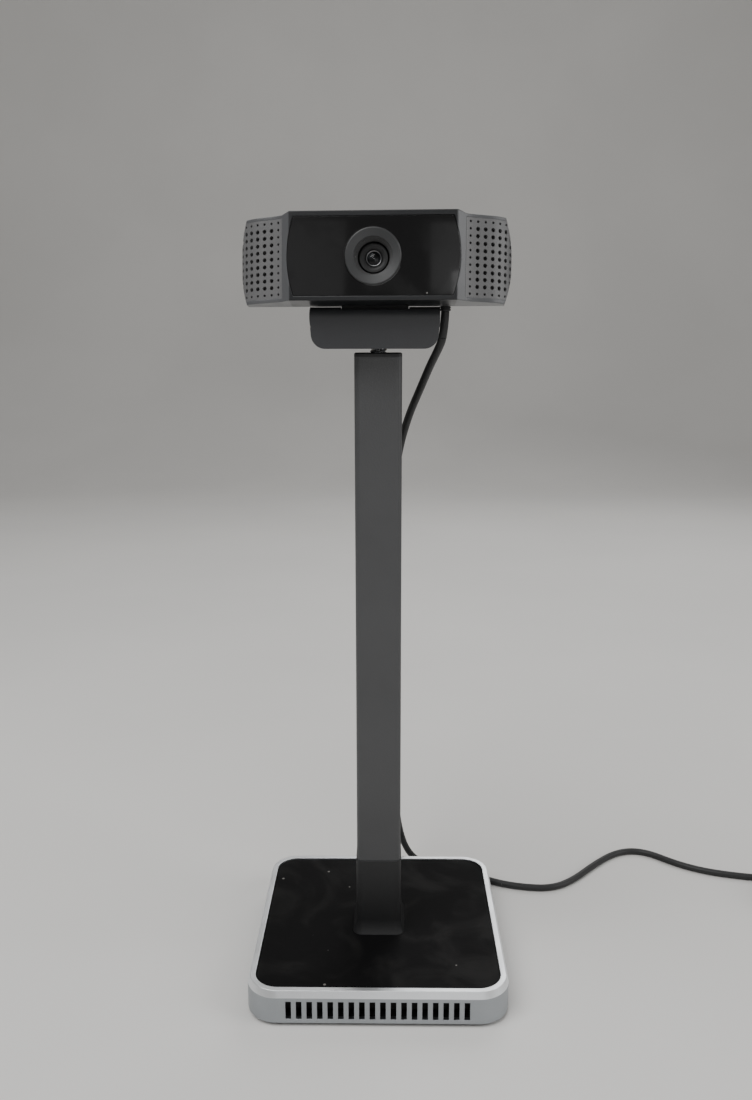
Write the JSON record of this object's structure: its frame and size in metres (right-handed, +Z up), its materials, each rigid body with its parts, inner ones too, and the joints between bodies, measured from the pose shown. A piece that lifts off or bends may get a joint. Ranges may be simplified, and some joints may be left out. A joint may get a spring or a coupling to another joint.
{
  "type": "webcam on desk post stand",
  "caption": "Wide webcam with folded monitor clip, screwed to the stud of a rectangular post on a weighted square base, with its USB lead.",
  "frame": {"origin": "middle of the square base, on the surface it stands on", "axes": "+Z up along the post, +Y backwards away from the lens, +X towards the right of the picture seen from the front"},
  "size_m": [0.2822, 0.1288, 0.2922],
  "materials": {
    "satin_aluminium": "satin",
    "black_soft_plate": "matte",
    "cast_iron": "rough",
    "zinc_steel": "satin",
    "black_cover": "satin",
    "rubber_black": "matte",
    "graphite_post": "satin",
    "collar_plastic": "satin",
    "clip_plastic": "satin",
    "frame_plastic": "satin",
    "grille_plastic": "satin",
    "acoustic_cloth": "matte",
    "gloss_black": "gloss",
    "ring_plastic": "satin",
    "baffle_black": "matte",
    "lens_glass": "polished",
    "brass": "satin",
    "circuit_board": "satin",
    "sensor_glass": "gloss",
    "clear_plastic": "gloss",
    "cable_sheath": "matte",
    "plug_nickel": "polished",
    "contact_gold": "polished",
    "white_plastic": "satin"
  },
  "bodies": {
    "stand": {"base_shell": "satin_aluminium", "top_plate": "black_soft_plate", "ballast": "cast_iron", "bottom_cover": "black_cover", "cover_screws": "zinc_steel", "rubber_feet": "rubber_black", "post": "graphite_post", "foot_collar": "collar_plastic", "root_block": "zinc_steel", "post_bolts": "zinc_steel", "post_cap": "collar_plastic", "stud_nut": "zinc_steel", "stud": "zinc_steel", "cord_run": "cable_sheath", "cord_coil": "cable_sheath", "cord_tie": "rubber_black", "cord_tail": "cable_sheath", "plug_grip": "rubber_black", "plug_shell": "plug_nickel", "plug_tongue": "white_plastic", "plug_contacts": "contact_gold"},
    "leg": {"clip_leg": "clip_plastic", "thread_insert": "brass", "leg_pad": "rubber_black"},
    "arm": {"clip_arm": "clip_plastic", "arm_pad": "rubber_black", "fold_pin": "zinc_steel", "tilt_pin": "zinc_steel", "friction_washers": "zinc_steel"},
    "head": {"front_frame": "frame_plastic", "rear_cover": "clip_plastic", "face_panel": "gloss_black", "grille_left": "grille_plastic", "grille_right": "grille_plastic", "cloth_left": "acoustic_cloth", "cloth_right": "acoustic_cloth", "lens_ring": "ring_plastic", "lens_cone": "baffle_black", "lens_holder": "baffle_black", "image_sensor": "sensor_glass", "main_board": "circuit_board", "board_screws": "zinc_steel", "light_pipes": "clear_plastic", "microphones": "rubber_black", "hinge_bracket": "zinc_steel", "cable_boot": "rubber_black", "cord_lead": "cable_sheath"},
    "lens": {"lens_barrel": "baffle_black", "front_glass": "lens_glass", "rear_glass": "lens_glass"}
  },
  "joints": [
    {"name": "clip_pan", "type": "hinge", "parent": "stand", "child": "leg", "pos_m": [0, 0, 0.2453], "axis": [0, 0, 1], "range_deg": [-40, 40]},
    {"name": "clip_fold", "type": "hinge", "parent": "leg", "child": "arm", "pos_m": [0.00144, 0.02496, 0.254], "axis": [-0.9983, 0.0576, 0], "range_deg": [0, 90]},
    {"name": "head_tilt", "type": "hinge", "parent": "arm", "child": "head", "pos_m": [-0.00098, -0.01697, 0.2574], "axis": [-0.9983, 0.0576, 0], "range_deg": [-20, 20]},
    {"name": "lens_focus", "type": "slide", "parent": "head", "child": "lens", "axis": [-0.0571, -0.9909, 0.1219], "range_m": [0, 0.00035], "stiffness_N_per_m": 40}
  ]
}
